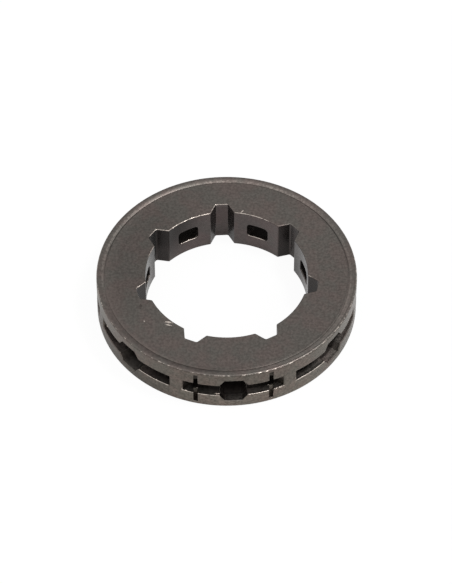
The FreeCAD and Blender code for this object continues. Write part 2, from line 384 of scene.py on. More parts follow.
def prism(tree, curve, low, high):
    """A closed solid over an outline, from one height to another."""
    face = tree.node("GeometryNodeFillCurve", {"Curve": curve}, mode="NGONS")
    bottom = tree.node(
        "GeometryNodeTransform", {"Geometry": face, "Translation": tree.vector(z=low)}
    )
    top = tree.node(
        "GeometryNodeExtrudeMesh",
        {"Mesh": bottom, "Offset": tree.vector(z=high - low), "Offset Scale": 1.0,
         "Individual": False},
        mode="FACES",
    )
    under = tree.node("GeometryNodeFlipFaces", {"Mesh": bottom})
    both = tree.node("GeometryNodeJoinGeometry", {"Geometry": [top, under]})
    return tree.node("GeometryNodeMergeByDistance", {"Geometry": both, "Distance": 1e-6})


def stand_up(tree, mesh):
    """Turns a solid drawn in the XY plane so that its plan faces -Y and its height runs out."""
    return tree.node(
        "GeometryNodeTransform",
        {"Geometry": mesh, "Rotation": tree.vector(x=math.radians(90.0))},
    )


def repeated(tree, mesh, count):
    """A solid, turned about the bore once for each tooth."""
    index = tree.node("GeometryNodeInputIndex")
    points = tree.node("GeometryNodePoints", {"Count": count})
    turn = tree.vector(z=index * math.tau / count)
    return tree.node(
        "GeometryNodeInstanceOnPoints",
        {"Points": points, "Instance": mesh, "Rotation": turn},
    )


def turned_cylinder(tree, teeth, segments, phase, radius, depth):
    """A cylinder on the middle plane, with a whole number of flats for each tooth."""
    count = teeth * segments
    solid = tree.node(
        "GeometryNodeMeshCylinder",
        {"Vertices": count, "Radius": radius, "Depth": depth}, fill_type="NGON",
    )
    turn = (count ** -1.0) * (math.tau * phase) - math.pi / 2
    return tree.node("GeometryNodeTransform", {"Geometry": solid, "Rotation": tree.vector(z=turn)})


def groove_cutter(tree, s):
    """A spline groove at +Y, through the whole thickness."""
    root_x = s["groove_root"] / 2
    root_y = s["bore_diameter"] / 2 + s["groove_depth"]
    mouth_x = s["groove_mouth"] / 2
    mouth_y = (((s["bore_diameter"] / 2) ** 2.0) - (mouth_x ** 2.0)) ** 0.5
    reach = s["groove_depth"] ** -1.0 * PAST + 1.0
    inside_x = root_x + (mouth_x - root_x) * reach
    inside_y = root_y + (mouth_y - root_y) * reach
    corner = s["groove_corner"]
    plan = outline(tree, [
        (inside_x, inside_y, 0.0),
        (root_x, root_y, corner),
        (-root_x, root_y, corner),
        (-inside_x, inside_y, 0.0),
    ])
    half = s["thickness"] / 2 + PAST
    return prism(tree, plan, -half, half)


def slot_cutter(tree, s):
    """A chain slot at -Y: a flat-floored gap between the rims, with slanted flanks."""
    rim = s["outer_diameter"] / 2
    tip_angle = (s["tooth_tip"] / s["outer_diameter"]).sum("ARCSINE")
    half_angle = (s["teeth"] ** -1.0) * math.pi - tip_angle
    floor_x = s["slot_floor"] / 2
    floor_y = -(s["bore_diameter"] / 2 + s["slot_wall"])
    tip_x = half_angle.sum("SINE") * rim
    tip_y = -(half_angle.sum("COSINE") * rim)
    reach = (-(rim + PAST) - floor_y) / (tip_y - floor_y)
    outside_x = floor_x + (tip_x - floor_x) * reach
    outside_y = floor_y + (tip_y - floor_y) * reach
    corner = s["slot_corner"]
    plan = outline(tree, [
        (outside_x, outside_y, 0.0),
        (floor_x, floor_y, corner),
        (-floor_x, floor_y, corner),
        (-outside_x, outside_y, 0.0),
    ])
    half = s["slot_height"] / 2
    return prism(tree, plan, -half, half)


def relief_cutter(tree, s):
    """A dirt relief at -Y: eight-sided, tapering from the rims to the window."""
    rim = s["outer_diameter"] / 2
    bore = s["bore_diameter"] / 2
    window_width = s["window_width"] - s["window_step"] * 2
    window_height = s["window_height"] - s["window_step"] * 2
    slant_across = (s["relief_width"] - s["relief_flat"]) / 2
    slant_up = (s["relief_height"] - s["relief_side"]) / 2
    at_rims = (s["relief_width"], s["relief_flat"], s["relief_height"], s["relief_side"])
    at_bore = (
        window_width, window_width - slant_across, window_height, window_height - slant_up
    )
    solid = tree.node(
        "GeometryNodeMeshCylinder", {"Vertices": 8, "Radius": 1.0, "Depth": 2.0}, fill_type="NGON"
    )
    turned = tree.node(
        "GeometryNodeTransform",
        {"Geometry": solid, "Rotation": tree.vector(z=math.radians(22.5))},
    )
    x, y, z = tree.axes(tree.node("GeometryNodeInputPosition"))
    outward = z > 0.0
    share = (rim - bore) ** -1.0 * PAST
    reach = outward * (share * 2 + 1.0) - share
    is_side = x.sum("ABSOLUTE") > y.sum("ABSOLUTE")
    width, flat, height, side = (
        (inner + (outer - inner) * reach) / 2 for inner, outer in zip(at_bore, at_rims)
    )
    across = (flat + (width - flat) * is_side) * x.sum("SIGN")
    upward = (height + (side - height) * is_side) * y.sum("SIGN")
    out = bore + (rim - bore) * reach
    shaped = tree.node(
        "GeometryNodeSetPosition", {"Geometry": turned, "Position": tree.vector(across, upward, out)}
    )
    return stand_up(tree, shaped)


def window_cutter(tree, s):
    """A window at -Y: a rounded opening from the bore to the pocket."""
    x = s["window_width"] / 2
    y = s["window_height"] / 2
    corner = s["window_corner"]
    plan = outline(tree, [(x, -y, corner), (x, y, corner), (-x, y, corner), (-x, -y, corner)])
    bore = s["bore_diameter"] / 2
    return stand_up(tree, prism(tree, plan, bore - PAST, bore + s["slot_wall"] + PAST))


def slit_cutter(tree, s, side):
    """A wear slit beside the relief at -Y, on one side."""
    middle = s["slit_spacing"] / 2
    half = s["slit_width"] / 2
    left = middle * side - half
    right = middle * side + half
    y = s["thickness"] / 2 - s["slit_wall"]
    plan = outline(tree, [(left, -y, 0.0), (right, -y, 0.0), (right, y, 0.0), (left, y, 0.0)])
    rim = s["outer_diameter"] / 2
    surface = (rim ** 2.0 - middle ** 2.0) ** 0.5
    return stand_up(tree, prism(tree, plan, surface - s["slit_depth"], rim + PAST))


def line_cutters(tree, s):
    """The lines turned in the faces: a steep inner side, and a long outer side that flattens."""
    rim = s["outer_diameter"] / 2
    path = tree.node(
        "GeometryNodeCurvePrimitiveCircle",
        {"Resolution": s["teeth"] * (RIM_SEGMENTS * 2), "Radius": rim - s["line_bottom"]},
        mode="RADIUS",
    )
    start = s["line_bottom"] - s["line_start"]
    bend = s["line_bottom"] - s["line_bend"]
    end = s["line_bottom"] - s["line_end"]
    section = outline(tree, [
        (end + (end - bend), -s["line_bend_depth"], 0.0),
        (bend, s["line_bend_depth"], 0.0),
        (0.0, s["line_depth"], 0.0),
        (start * 2, -s["line_depth"], 0.0),
    ])
    ring = tree.node("GeometryNodeCurveToMesh", {"Curve": path, "Profile Curve": section})
    top = tree.node(
        "GeometryNodeTransform",
        {"Geometry": ring, "Translation": tree.vector(z=s["thickness"] / 2)},
    )
    bottom = tree.node(
        "GeometryNodeTransform", {"Geometry": top, "Rotation": tree.vector(x=math.pi)}
    )
    return top, bottom


def build_ring_tree(sizes):
    """The ring as a tree: a turned blank less its bore, lines, grooves, pockets and slits."""
    inputs = {}
    for key, prop in sizes.bl_rna.properties.items():
        if key in ("rna_type", "name", "outer_edge", "small_edge"):
            continue
        kind = "NodeSocketInt" if prop.type == "INT" else "NodeSocketFloat"
        inputs[key] = (prop.name, kind)
    inputs["material"] = ("Material", "NodeSocketMaterial")
    tree, s, sockets = new_shape_tree("ring_shape", inputs)
    teeth = s["teeth"]
    blank = turned_cylinder(
        tree, teeth, RIM_SEGMENTS, 0.5, s["outer_diameter"] / 2, s["thickness"]
    )
    bore = turned_cylinder(
        tree, teeth, BORE_SEGMENTS, 0.0, s["bore_diameter"] / 2, s["thickness"] + 2 * PAST
    )
    lines = line_cutters(tree, s)
    cutters = [repeated(tree, make(tree, s), teeth)
               for make in (groove_cutter, slot_cutter, relief_cutter, window_cutter)]
    slits = [slit_cutter(tree, s, side) for side in (-1.0, 1.0)]
    cut = tree.tree.nodes.new("GeometryNodeMeshBoolean")
    cut.operation = "DIFFERENCE"
    cut.solver = "EXACT"
    feed(tree.tree, cut.inputs["Mesh 1"], blank)
    for cutter in [bore, *lines, *cutters, *slits]:
        feed(tree.tree, cut.inputs["Mesh 2"], cutter)
    raised = tree.node(
        "GeometryNodeTransform",
        {"Geometry": Chain(tree.tree, cut.outputs[0]), "Translation": tree.vector(z=s["thickness"] / 2)},
    )
    close_shape_tree(tree, raised, s["material"])
    return tree, sockets


IN_BORE_WEAR = 1.6
LIP_WEAR = 1.3


def from_bore(point):
    return math.hypot(point.x, point.y)


def mark_edges(mesh, sizes):
    """Cleans the cut ring and says how round each outside edge gets."""
    work = bmesh.new()
    work.from_mesh(mesh)
    bmesh.ops.remove_doubles(work, verts=work.verts, dist=2e-6)
    bmesh.ops.dissolve_degenerate(work, edges=work.edges, dist=2e-6)
    weights = work.edges.layers.float.new("bevel_weight_edge")
    rim = sizes.outer_diameter / 2
    near = 0.05 * MM
    line_start = rim - sizes.line_start - near
    line_end = rim - sizes.line_end + near
    small = sizes.small_edge / sizes.outer_edge
    for edge in work.edges:
        ends = [vert.co for vert in edge.verts]
        turn = edge.calc_face_angle_signed(0.0)
        edge.smooth = abs(turn) < math.radians(20.0)
        if turn < math.radians(24.0):
            continue
        if all(line_start < from_bore(end) < line_end for end in ends):
            continue
        on_face = all(min(end.z, sizes.thickness - end.z) < near for end in ends)
        on_rim = on_face and all(abs(from_bore(end) - rim) < near for end in ends)
        in_bore = not on_face and all(from_bore(end) < sizes.bore_diameter / 2 + near for end in ends)
        upright = abs(ends[0].z - ends[1].z) > sizes.thickness / 2
        edge[weights] = 1.0 if on_rim or (in_bore and upright) else small
        edge.smooth = True
    for face in work.faces:
        face.smooth = True
    work.to_mesh(mesh)
    work.free()


def mark_wear(mesh, sizes):
    """Keeps on every point how far up a worn edge it is, from 0 beside it to 1 on its crest.

    The edges of the faces wear, the slots' lips wear more, and the edges in the bore wear most."""
    middle = sizes.thickness / 2
    bore_reach = sizes.bore_diameter / 2 + sizes.groove_depth + 0.3 * MM

    def share(point):
        height = abs(point.z - middle)
        if from_bore(point) < bore_reach:
            return IN_BORE_WEAR
        if abs(height - sizes.slot_height / 2) < 0.15 * MM:
            return LIP_WEAR
        return 1.0 if height > middle - 0.3 * MM else 0.0

    rounded = [
        face for face in mesh.polygons
        if face.material_index and abs(face.normal.z) > 0.15 and share(face.center)
    ]
    on_edge = {vert for face in rounded for vert in face.vertices}
    beside = {vert for face in mesh.polygons if not face.material_index for vert in face.vertices}
    height = {vert: 0.0 for vert in beside}
    for step in (0.5, 1.0):
        next_row = {
            vert for face in rounded if any(height.get(v) == step - 0.5 for v in face.vertices)
            for vert in face.vertices if vert not in height
        }
        height.update((vert, step) for vert in next_row)
    wear = mesh.attributes.new("wear", "FLOAT", "POINT")
    wear.data.foreach_set("value", [
        height.get(vert.index, 0.0) * share(vert.co) if vert.index in on_edge else 0.0
        for vert in mesh.vertices
    ])
    mesh.polygons.foreach_set("material_index", [0] * len(mesh.polygons))
    mesh.materials.pop(index=1)


# Burrs.


def build_burr_tree():
    """A row of burrs as a tree: ragged flakes at random along an arc round the ring."""
    tree, s, sockets = new_shape_tree("burr_row", {
        "radius": ("Radius", "NodeSocketFloat"),
        "height": ("Height", "NodeSocketFloat"),
        "start": ("Start angle", "NodeSocketFloat"),
        "end": ("End angle", "NodeSocketFloat"),
        "count": ("Count", "NodeSocketInt"),
        "size": ("Size", "NodeSocketFloat"),
        "seed": ("Seed", "NodeSocketInt"),
        "material": ("Material", "NodeSocketMaterial"),
    })

    def chance(low, high, place):
        return tree.node(
            "FunctionNodeRandomValue", {2: low, 3: high, "Seed": s["seed"] * 7.0 + place},
            output=1, data_type="FLOAT",
        )

    index = tree.node("GeometryNodeInputIndex")
    angle = s["start"] + (s["end"] - s["start"]) * (index + chance(0.1, 0.9, 1.0)) / s["count"]
    place = tree.vector(
        angle.sum("COSINE") * s["radius"],
        angle.sum("SINE") * s["radius"],
        s["height"] + s["size"] * chance(-0.1, 0.2, 2.0),
    )
    points = tree.node("GeometryNodePoints", {"Count": s["count"], "Position": place})
    ball = tree.node("GeometryNodeMeshIcoSphere", {"Radius": 0.5, "Subdivisions": 3})
    flake = tree.node(
        "GeometryNodeTransform", {"Geometry": ball, "Scale": tree.vector(1.0, 0.4, 0.32)}
    )
    turned = angle + math.pi / 2 + chance(-0.3, 0.3, 3.0)
    tilt = tree.vector(chance(-0.5, 0.5, 4.0), chance(-0.25, 0.25, 5.0), turned)
    scale = s["size"] * chance(0.5, 1.0, 6.0)
    row = tree.node(
        "GeometryNodeInstanceOnPoints",
        {"Points": points, "Instance": flake, "Rotation": tilt,
         "Scale": tree.vector(scale, scale, scale)},
    )
    real = tree.node("GeometryNodeRealizeInstances", {"Geometry": row})
    spot = tree.node("GeometryNodeInputPosition")
    ragged = tree.noise(spot, 0.09 * MM, 1.0)
    outward = tree.node("GeometryNodeInputNormal")
    push = (ragged - 0.5) * s["size"] * 0.5
    offset = tree.node(
        "ShaderNodeVectorMath", {0: outward, 1: tree.vector(push, push, push)}, operation="MULTIPLY"
    )
    shaped = tree.node("GeometryNodeSetPosition", {"Geometry": real, "Offset": offset})
    close_shape_tree(tree, shaped, s["material"])
    return tree, sockets


# Materials.


def new_material(name):
    """An empty node material, with the end of its Principled shader's chain."""
    material = bpy.data.materials.new(name)
    material.use_nodes = True
    material.node_tree.nodes.clear()
    return material, Tree(material.node_tree)


def mapped(tree, value, low, high, to_low=0.0, to_high=1.0):
    """A value stretched smoothly from one range to another."""
    return tree.node(
        "ShaderNodeMapRange",
        {"Value": value, "From Min": low, "From Max": high, "To Min": to_low, "To Max": to_high},
        interpolation_type="SMOOTHSTEP",
    )


def mixed(tree, share, first, second):
    """One colour blended into another."""
    node = tree.tree.nodes.new("ShaderNodeMix")
    node.data_type = "RGBA"
    feed(tree.tree, node.inputs["Factor"], share)
    for name, value in (("A", first), ("B", second)):
        slot = next(s for s in node.inputs if s.name == name and s.type == "RGBA")
        feed(tree.tree, slot, value if isinstance(value, Chain) else (*value, 1.0))
    return Chain(tree.tree, next(s for s in node.outputs if s.type == "RGBA"))


def sector(tree, around, degrees, reach):
    """How close a place is to a direction round the ring: 1 on it, 0 from its reach on."""
    aside = (around - math.radians(degrees)).sum("COSINE")
    return mapped(tree, aside, math.cos(math.radians(reach)), 1.0)


def marked(tree, x, y, ragged, marks):
    """How much a place lies on any of the small ragged marks."""
    on_any = 0.0
    for degrees, distance, half_length, half_width, turn in marks:
        angle = math.radians(degrees)
        heading = angle + math.pi / 2 + math.radians(turn)
        right = x - math.cos(angle) * distance * MM
        up = y - math.sin(angle) * distance * MM
        along = (right * math.cos(heading) + up * math.sin(heading)) / (half_length * MM)
        across = (up * math.cos(heading) - right * math.sin(heading)) / (half_width * MM)
        off = (along * along + across * across) ** 0.5 + (ragged - 0.5) * 2.2
        on_any = mapped(tree, off, 1.1, 0.6).sum("MAXIMUM", on_any)
    return on_any


def shade_patch_place(sizes):
    """The middle of the painted shade patch: the top of the root of the first groove left of the back."""
    angle = math.pi / 2 + math.tau / sizes.teeth
    root = sizes.bore_diameter / 2 + sizes.groove_depth
    return math.cos(angle) * root, math.sin(angle) * root, sizes.thickness


def steel(look, sizes):
    """Dull cast steel with grime and painted shade in its hollows, painted light and shade round the ring,
    worn bright in broken lines along its edges.
    """
    material, tree = new_material("cast_steel")
    place = tree.node("ShaderNodeTexCoord", output=3)
    x, y, z = tree.axes(place)
    across = (x * x + y * y) ** 0.5
    bore = sizes.bore_diameter / 2
    rim = sizes.outer_diameter / 2
    normal_x, normal_y, normal_z = tree.axes(tree.node("ShaderNodeNewGeometry", output=1))

    patches = mapped(tree, tree.noise(place, look.patch, 3.0, 0.6), 0.38, 0.62)
    on_side = mapped(tree, normal_z.sum("ABSOLUTE"), 0.7, 0.3)
    base = mixed(tree, patches, look.cool, look.warm)
    grain = tree.noise(place, look.grain, 3.0, 0.65)
    in_bore = mapped(tree, across, bore + sizes.groove_depth + 0.2 * MM, bore + sizes.groove_depth)
    bore_wall = in_bore * on_side
    plain_side = on_side - bore_wall
    strength = on_side * 0.185 - bore_wall * 0.20 + 0.135
    tone = (mapped(tree, grain, 0.30, 0.70, -1.0, 1.0) * strength) + 1.0

    outward = (normal_x * x + normal_y * y) / across
    sideways = 1.0 - mapped(tree, outward.sum("ABSOLUTE") + normal_z.sum("ABSOLUTE"), 0.45, 0.96)
    around = y.sum("ARCTAN2", x)
    turn = (around - math.pi / 2) * sizes.teeth
    in_pocket = mapped(tree, -turn.sum("COSINE"), 0.0, 0.3)
    deep = mapped(tree, across, rim - 0.15 * MM, rim - 2.0 * MM)
    behind_bore = mapped(tree, across, bore + 0.05 * MM, bore + 0.3 * MM)
    middle = (z - sizes.thickness / 2).sum("ABSOLUTE")
    below_face = mapped(tree, middle, sizes.thickness / 2 - 0.3 * MM, sizes.thickness / 2 - 0.6 * MM)
    facing_up = mapped(tree, normal_z, 0.5, 0.9)
    inside = in_pocket * deep * behind_bore * below_face
    near_lip = mapped(tree, across, rim - 3.0 * MM, rim - 0.2 * MM)
    low = mapped(tree, z, 3.2 * MM, 1.4 * MM)
    on_flank = mapped(tree, z, 1.95 * MM, 2.2 * MM)
    # Painted light in the pockets: faces that look up and the low parts count as lit, and at the front right
    # the relief floor counts as less lit.
    lit = (facing_up * (on_flank * 0.45 + 0.40)).sum("MAXIMUM", low * 0.25)
    lit = lit * (1.0 - sector(tree, around, 322.0, 25.0) * (1.0 - on_flank) * 0.4)
    higher = mapped(tree, z, 3.0 * MM, 5.0 * MM, 1.04, 1.1)
    # Painted shade in the pockets: dark inside, less where lit near the opening, a little more higher up.
    hollow = inside * (1.0 - lit * near_lip) * higher
    # Painted shade in the wear slits, darker higher up, and along the spline grooves.
    off_slit = (x.sum("ABSOLUTE") - sizes.slit_spacing / 2).sum("ABSOLUTE")
    in_slit = mapped(tree, off_slit, sizes.slit_width / 2 + 0.1 * MM, sizes.slit_width / 2)
    in_slit = in_slit * (y < 0.0) * mapped(tree, across, rim - 0.1 * MM, rim - 0.3 * MM) * below_face
    in_groove = mapped(tree, across, bore + 0.1 * MM, bore + 1.2 * MM) * bore_wall * below_face
    # Painted shade: a dark patch round the top of one groove's root.
    patch_x, patch_y, patch_z = (part - spot for part, spot in zip((x, y, z), shade_patch_place(sizes)))
    off_shade_patch = (patch_x * patch_x + patch_y * patch_y + patch_z * patch_z) ** 0.5
    shade_patch = mapped(tree, off_shade_patch, 8.5 * MM, 3.0 * MM) * bore_wall
    # Grime and painted shade: the flanks of grooves and pockets, the pockets, the slits, the grooves and the
    # dark patch in one groove.
    grime_and_shade = (sideways * (in_bore * 0.42 + 0.56)).sum("MAXIMUM", hollow.sum("MAXIMUM", in_slit * mapped(tree, z, 2.0 * MM, 5.0 * MM, 0.42, 0.95)))
    grime_and_shade = grime_and_shade.sum("MAXIMUM", (in_groove * 0.24).sum("MAXIMUM", shade_patch)) * look.grime_and_shade_cover
    slant = tree.vector(around * (rim * 0.12) + z * 0.12, around * rim - z)
    streaks = mapped(tree, tree.noise(slant, 0.16 * MM, 2.0), 0.35, 0.65, -1.0, 1.0)
    # Painted light and shade: upright walls a little lighter, the bore's walls much darker, darkest at the
    # right and left of the ring.
    aside = sector(tree, around, 12.0, 40.0) * 0.34 + sector(tree, around, 168.0, 40.0) * 0.30
    tone = (tone + streaks * on_side * 0.06) * (on_side * 0.04 - bore_wall * (aside + 0.29) + 1.0)
    on_rims = mapped(tree, outward, 0.5, 0.9)
    lower_rim = mapped(tree, z, 2.6 * MM, 2.0 * MM) * on_rims
    upper_rim = on_rims - lower_rim
    on_line = mapped(tree, across, rim - sizes.line_start, rim - sizes.line_bottom)
    on_line = on_line * mapped(tree, across, rim - sizes.line_bend, rim - sizes.line_bottom)
    steep_side = mapped(tree, across, rim - sizes.line_bottom + 0.05 * MM, rim - sizes.line_bottom)
    steep_side = steep_side * mapped(tree, across, rim - sizes.line_start - 0.05 * MM, rim - sizes.line_start)
    # Painted light: the lower rim lighter round the front right.
    tone = tone * (lower_rim * sector(tree, around, 285.0, 50.0) * 0.16 + 1.0)
    # Painted shade: the lower part of the rims darker at the left and at the right.
    shaded = sector(tree, around, 203.0, 45.0) * 0.20 + sector(tree, around, 334.0, 30.0) * 0.16
    tone = tone * (1.0 - on_rims * mapped(tree, z, 4.6 * MM, 2.6 * MM) * shaded)
    # Painted shade: the upper rim a little darker round the front left.
    tone = tone * (1.0 - upper_rim * sector(tree, around, 250.0, 60.0) * 0.10)
    # The turned line a little lighter, with a painted highlight on its outer side, much lighter round the
    # front right.
    outer_side = mapped(tree, across, rim - sizes.line_start + 0.1 * MM, rim - sizes.line_bottom)
    outer_side = outer_side * mapped(tree, across, rim - sizes.line_end + 0.1 * MM, rim - sizes.line_end)
    tone = tone * (on_line * 0.10 + outer_side * sector(tree, around, 310.0, 55.0) * 0.65 + 1.0)
    # Painted shade: the steep inner side of the line darker round the front right and the right.
    in_dark = sector(tree, around, 295.0, 60.0) * 0.40 + sector(tree, around, 12.0, 45.0) * 0.18
    tone = tone * (1.0 - steep_side * in_dark)
    # Painted shade on the inner part of the faces at the back left, painted light on the faces at the back
    # right.
    on_faces = 1.0 - on_side
    inner_part = mapped(tree, across, 16.4 * MM, 14.8 * MM) * on_faces
    tone = tone * (1.0 - inner_part * sector(tree, around, 160.0, 55.0) * 0.13)
    tone = tone * (on_faces * sector(tree, around, 50.0, 60.0) * 0.06 + 1.0)
    tone = tone * (1.0 - marked(tree, x, y, grain, DARK_MARKS) * 0.3)
    tint = tree.vector(
        tone * (plain_side * 0.03 + 1.0), tone * (1.0 - bore_wall * 0.05),
        tone * (plain_side * -0.06 + 1.0),
    )
    base = tree.node("ShaderNodeVectorMath", {0: base, 1: tint}, operation="MULTIPLY")
    base = mixed(tree, grime_and_shade, base, look.grime_and_shade)

    broken = tree.noise(place, 0.7 * MM, 4.0, 0.65)
    wear = tree.node("ShaderNodeAttribute", attribute_name="wear", output=2)
    level = wear * mapped(tree, normal_z.sum("ABSOLUTE"), 0.3, 0.5)
    flat_part = (normal_x * normal_x + normal_y * normal_y) ** 0.5 + 0.001
    # Partly painted highlight: in the bore the worn edges are kept to those facing the front, fewer at the
    # right, the lips at the back wear less, and the front right wears most, where the highlights fall.
    to_front = mapped(tree, (normal_x * 0.3 - normal_y * 0.95) / flat_part, 0.40, 0.70, 0.25, 1.0)
    at_right = mapped(tree, (around - math.radians(26.0)).sum("COSINE"), 0.86, 0.92)
    to_front = to_front * (1.0 - at_right * 0.8)
    on_lips = mapped(tree, middle, sizes.slot_height / 2 + 0.6 * MM, sizes.slot_height / 2 + 0.3 * MM)
    lips_behind = mapped(tree, -around.sum("SINE"), 0.70, 0.53) * on_lips * (1.0 - in_bore) * 0.85
    level = level * (1.0 - (1.0 - to_front) * in_bore) * (1.0 - lips_behind)
    most = sector(tree, around, 312.0, 50.0)
    breaking = (broken - 0.5) * (in_bore + 1.0) + (grain - 0.5) * (in_bore * 0.5 + 0.5) + most * 0.08
    bare = mapped(tree, level + breaking, 1.60 - look.wear, 1.85 - look.wear)
    bare = bare * (1.0 - in_bore * 0.25)
    on_top = (normal_z > 0.9) * (z > sizes.thickness / 2)
    flecks = tree.noise(place, 0.16 * MM, 3.0, 0.6)
    bare = bare.sum("MAXIMUM", marked(tree, x, y, flecks, BRIGHT_MARKS) * on_top * 0.9)
    # Faint bare flecks on the line at the back right, where its highlight sparkles: partly painted glint.
    rubbed_and_glinting = sector(tree, around, 70.0, 40.0)
    rubbed_and_glinting = rubbed_and_glinting * mapped(tree, across, rim - sizes.line_bottom, rim - 1.0 * MM)
    rubbed_and_glinting = rubbed_and_glinting * mapped(tree, across, rim - 0.7 * MM, rim - sizes.line_bend)
    rubbed_and_glinting = rubbed_and_glinting * (z > sizes.thickness / 2) * mapped(tree, grain, 0.47, 0.60)
    bare = bare.sum("MAXIMUM", rubbed_and_glinting * 0.12)
    # A faint worn line along the bend, on the front half of the ring: partly painted highlight.
    bend = (across - (rim - sizes.line_bend)).sum("ABSOLUTE")
    on_bend = mapped(tree, bend, 0.16 * MM, 0.04 * MM) * mapped(tree, grain, 0.35, 0.60)
    on_bend = on_bend * mapped(tree, (around - math.radians(75.0)).sum("COSINE"), -0.6, -0.1)
    on_bend = on_bend * (1.0 - sector(tree, around, 80.0, 75.0)) * (normal_z > 0.5)
    bare = bare + on_bend * (z > sizes.thickness / 2) * 0.09
    base = mixed(tree, bare, base, look.bare)
    rough = mapped(tree, grain, 0.3, 0.7, look.roughness - 0.06, look.roughness + 0.08)
    rough = (rough - bore_wall * 0.12 + inside * 0.25) * (1.0 - bare * 0.3)
    smooth = bore_wall.sum("MAXIMUM", sideways)
    bump = tree.node(
        "ShaderNodeBump",
        {"Height": grain * (1.0 - smooth), "Strength": 0.35, "Distance": 0.03 * MM},
    )
    dusty = facing_up * on_flank * below_face * behind_bore * (1.0 - bare)
    dusty = dusty * (in_pocket * 0.10 + 0.15) * mapped(tree, across, rim - 1.8 * MM, rim - 0.2 * MM)
    dusty = dusty * mapped(tree, across, rim - 0.08 * MM, rim - 0.25 * MM)
    metal = (1.0 - sideways * in_bore * (1.0 - bare) * 0.5) * (1.0 - dusty)
    shader = tree.node("ShaderNodeBsdfPrincipled", {
        "Base Color": base, "Roughness": rough, "Metallic": metal,
        "Specular IOR Level": 0.2, "Normal": bump,
    })
    tree.node("ShaderNodeOutputMaterial", {"Surface": shader})
    tree.arrange()
    return material


def bare_steel(look):
    """Torn metal of the burrs: bright, with dull places."""
    material, tree = new_material("bare_steel")
    place = tree.node("ShaderNodeTexCoord", output=3)
    dull = mapped(tree, tree.noise(place, 0.15 * MM, 3.0), 0.52, 0.66)
    base = mixed(tree, dull, look.bare, look.warm)
    shader = tree.node("ShaderNodeBsdfPrincipled", {"Base Color": base, "Roughness": 0.3, "Metallic": 1.0})
    tree.node("ShaderNodeOutputMaterial", {"Surface": shader})
    tree.arrange()
    return material


def seen_rays(tree, *kinds):
    """1 for rays of any of these kinds, 0 for every other ray."""
    rays = tree.tree.nodes.new("ShaderNodeLightPath")
    first, *others = (Chain(tree.tree, rays.outputs[kind]) for kind in kinds)
    for other in others:
        first = first.sum("MAXIMUM", other)
    return first


def floor_material(look):
    """A pale floor that the camera sees as white, and the metal sees as white away from the ring, with the
    ring's shadow on it.
    """
    material, tree = new_material("pale_floor")
    place = tree.node("ShaderNodeTexCoord", output=3)
    specks = tree.noise(place, 0.02, 3.0)
    tone = mixed(tree, mapped(tree, specks, 0.3, 0.7), look.floor, tuple(c * 0.985 for c in look.floor))
    paint = tree.node("ShaderNodeBsdfDiffuse", {"Color": tone})
    glow = tree.node("ShaderNodeEmission", {"Color": (1.0, 1.0, 1.0, 1.0), "Strength": 1.0})
    x, y, _ = tree.axes(place)
    across = (x * x + y * y) ** 0.5
    # Painted shade in the reflections: near the ring, inside and outside, the metal sees less of the white
    # glow and more of the lit floor.
    clear = mapped(tree, across, 17.0 * MM, 34.0 * MM, 0.12, 0.94)
    clear = clear.sum("MAXIMUM", mapped(tree, across, 15.0 * MM, 10.0 * MM, 0.0, 0.62))
    mirrored = seen_rays(tree, "Is Glossy Ray", "Is Transmission Ray") * clear
    seen = (seen_rays(tree, "Is Camera Ray") * 0.94).sum("MAXIMUM", mirrored)
    surface = tree.node("ShaderNodeMixShader", {0: seen, 1: paint, 2: glow})
    tree.node("ShaderNodeOutputMaterial", {"Surface": surface})
    tree.arrange()
    return material


# Operators.


def add_object(name, mesh):
    obj = bpy.data.objects.new(name, mesh)
    bpy.context.scene.collection.objects.link(obj)
    return obj


class SPROCKET_OT_ring(bpy.types.Operator):
    """Cuts the ring from a turned blank and rounds its edges"""

    bl_idname = "sprocket.ring"
    bl_label = "Ring"

    def execute(self, context):
        sizes = context.scene.ring_sizes
        look = context.scene.steel_look
        finish = steel(look, sizes)
        tree, sockets = build_ring_tree(sizes)
        values = {key: getattr(sizes, key) for key in sockets if key != "material"}
        mesh = mesh_from_tree("ring", tree, sockets, {**values, "material": finish})
        if not mesh.polygons:
            raise RuntimeError("the ring's cutters left nothing")
        mark_edges(mesh, sizes)
        mesh.materials.clear()
        for row in range(2):
            mesh.materials.append(finish)
        mesh.polygons.foreach_set("material_index", [0] * len(mesh.polygons))
        ring = add_object("ring", mesh)
        bevel = ring.modifiers.new("edges", "BEVEL")
        bevel.limit_method = "WEIGHT"
        bevel.width = sizes.outer_edge
        bevel.segments = 4
        bevel.material = 1
        bevel.use_clamp_overlap = False
        bevel.harden_normals = True
        ring.data = bake_mesh(ring, "ring")
        ring.modifiers.clear()
        mark_wear(ring.data, sizes)
        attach(ring, "root")
        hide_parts(NODE)
        return {"FINISHED"}


class SPROCKET_OT_burrs(bpy.types.Operator):
    """Adds the burrs on the lips of the slots"""

    bl_idname = "sprocket.burrs"
    bl_label = "Burrs"

    def execute(self, context):
        sizes = context.scene.ring_sizes
        finish = bare_steel(context.scene.steel_look)
        tree, sockets = build_burr_tree()
        lower_lip = (sizes.thickness - sizes.slot_height) / 2
        for seed, (name, row) in enumerate(BURR_ROWS.items(), start=1):
            start, end, inset, height, count, size = row
            mesh = mesh_from_tree("burrs_" + name, tree, sockets, {
                "radius": sizes.outer_diameter / 2 - inset * MM,
                "height": lower_lip + height * MM,
                "start": math.radians(start),
                "end": math.radians(end),
                "count": count,
                "size": size * MM,
                "seed": seed,
                "material": finish,
            })
            if not mesh.polygons:
                raise RuntimeError("a row of burrs came out empty")
            burrs = add_object("burrs_" + name, mesh)
            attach(burrs, "root")
        return {"FINISHED"}


